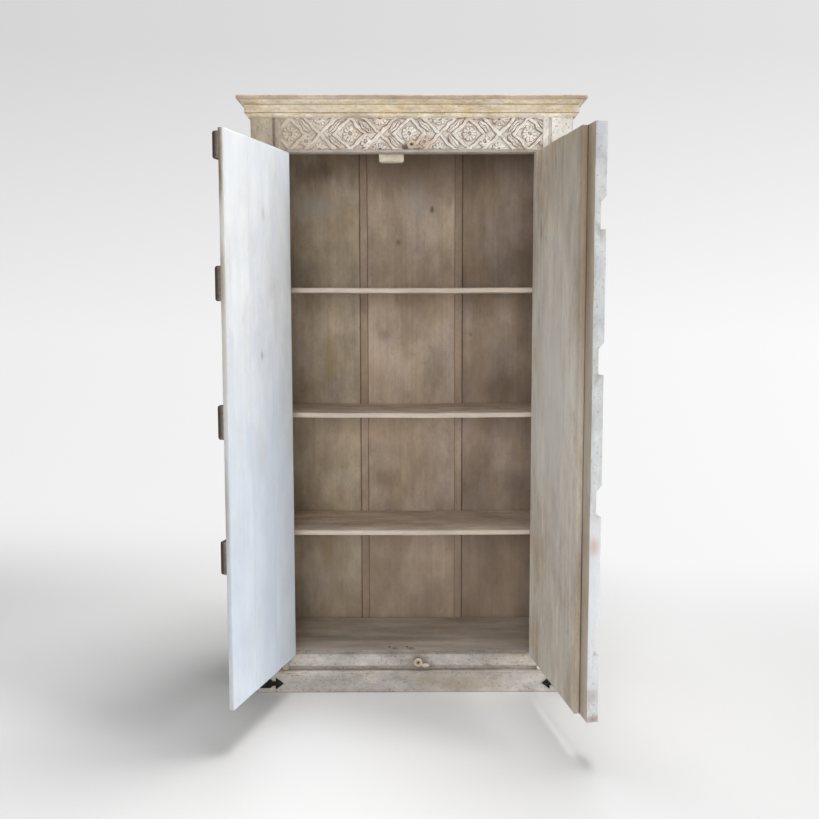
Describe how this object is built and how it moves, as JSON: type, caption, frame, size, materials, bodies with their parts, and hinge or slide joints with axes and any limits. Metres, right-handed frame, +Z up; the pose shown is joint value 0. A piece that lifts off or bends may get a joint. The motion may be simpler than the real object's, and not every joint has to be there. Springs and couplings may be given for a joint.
{
  "type": "cabinet",
  "caption": "Tall whitewashed wooden cabinet with hinged plank doors, open shelves inside, a carved frieze and a moulded cornice.",
  "frame": {"origin": "on the floor, under the middle of the front frame's face", "axes": "+Z up, +Y to the back, +X to the right of someone who faces the doors"},
  "size_m": [1.014, 0.7291, 1.795],
  "materials": {
    "whitewashed_wood": "worn whitewash over brown wood, matt",
    "cornice_wood": "worn cream-yellow paint",
    "back_wood": "limewashed brown wood, matt",
    "shelf_wood": "limewashed wood with pale edges",
    "left_door_wood": "cool whitewash, matt",
    "right_door_wood": "greige limewash, matt",
    "black_iron": "black, hammered",
    "hinge_iron": "dark, dull"
  },
  "bodies": {
    "carcass": {"back_batten_left": "back_wood", "back_batten_right": "back_wood", "back_board_center": "back_wood", "back_board_left": "back_wood", "back_board_right": "back_wood", "bottom_rail": "whitewashed_wood", "carved_frieze": "whitewashed_wood", "ceiling_board": "back_wood", "cornice_front": "cornice_wood", "cornice_left": "cornice_wood", "cornice_right": "cornice_wood", "cornice_top_board": "cornice_wood", "door_stop_block": "whitewashed_wood", "floor_board": "shelf_wood", "floor_cleats": "shelf_wood", "floor_screws": "black_iron", "frieze_lip": "whitewashed_wood", "hinge_frame_leaves": "hinge_iron", "hinge_pins": "hinge_iron", "left_corner_strap": "black_iron", "left_side_panel": "whitewashed_wood", "left_stile": "whitewashed_wood", "lower_latch_eye": "whitewashed_wood", "plinth_front": "whitewashed_wood", "plinth_left": "whitewashed_wood", "plinth_right": "whitewashed_wood", "right_corner_strap": "black_iron", "right_side_panel": "whitewashed_wood", "right_stile": "whitewashed_wood", "shelf_cleats": "shelf_wood", "shelf_lower": "shelf_wood", "shelf_middle": "shelf_wood", "shelf_upper": "shelf_wood", "strap_screws": "black_iron", "top_rail": "whitewashed_wood", "upper_latch_eye": "whitewashed_wood"},
    "left_door": {"left_door_hinge_stile": "left_door_wood", "left_door_ledge_1": "left_door_wood", "left_door_ledge_2": "left_door_wood", "left_door_ledge_3": "left_door_wood", "left_door_ledge_4": "left_door_wood", "left_door_nails": "black_iron", "left_door_plank_1": "left_door_wood", "left_door_plank_2": "left_door_wood", "left_door_plank_3": "left_door_wood", "left_hinge_door_leaves": "hinge_iron"},
    "right_door": {"right_door_hinge_stile": "right_door_wood", "right_door_ledge_1": "right_door_wood", "right_door_ledge_2": "right_door_wood", "right_door_ledge_3": "right_door_wood", "right_door_ledge_4": "right_door_wood", "right_door_nails": "black_iron", "right_door_plank_1": "right_door_wood", "right_door_plank_2": "right_door_wood", "right_door_plank_3": "right_door_wood", "right_door_post": "right_door_wood", "right_hinge_door_leaves": "hinge_iron"}
  },
  "joints": [
    {"name": "left_door_hinge", "type": "hinge", "parent": "carcass", "child": "left_door", "pos_m": [-0.3812, -0.005, 0.879], "axis": [0, 0, -1], "range_deg": [-108.8, 51.2]},
    {"name": "right_door_hinge", "type": "hinge", "parent": "carcass", "child": "right_door", "pos_m": [0.3812, -0.005, 0.879], "axis": [0, 0, 1], "range_deg": [-100.6, 59.4]}
  ]
}
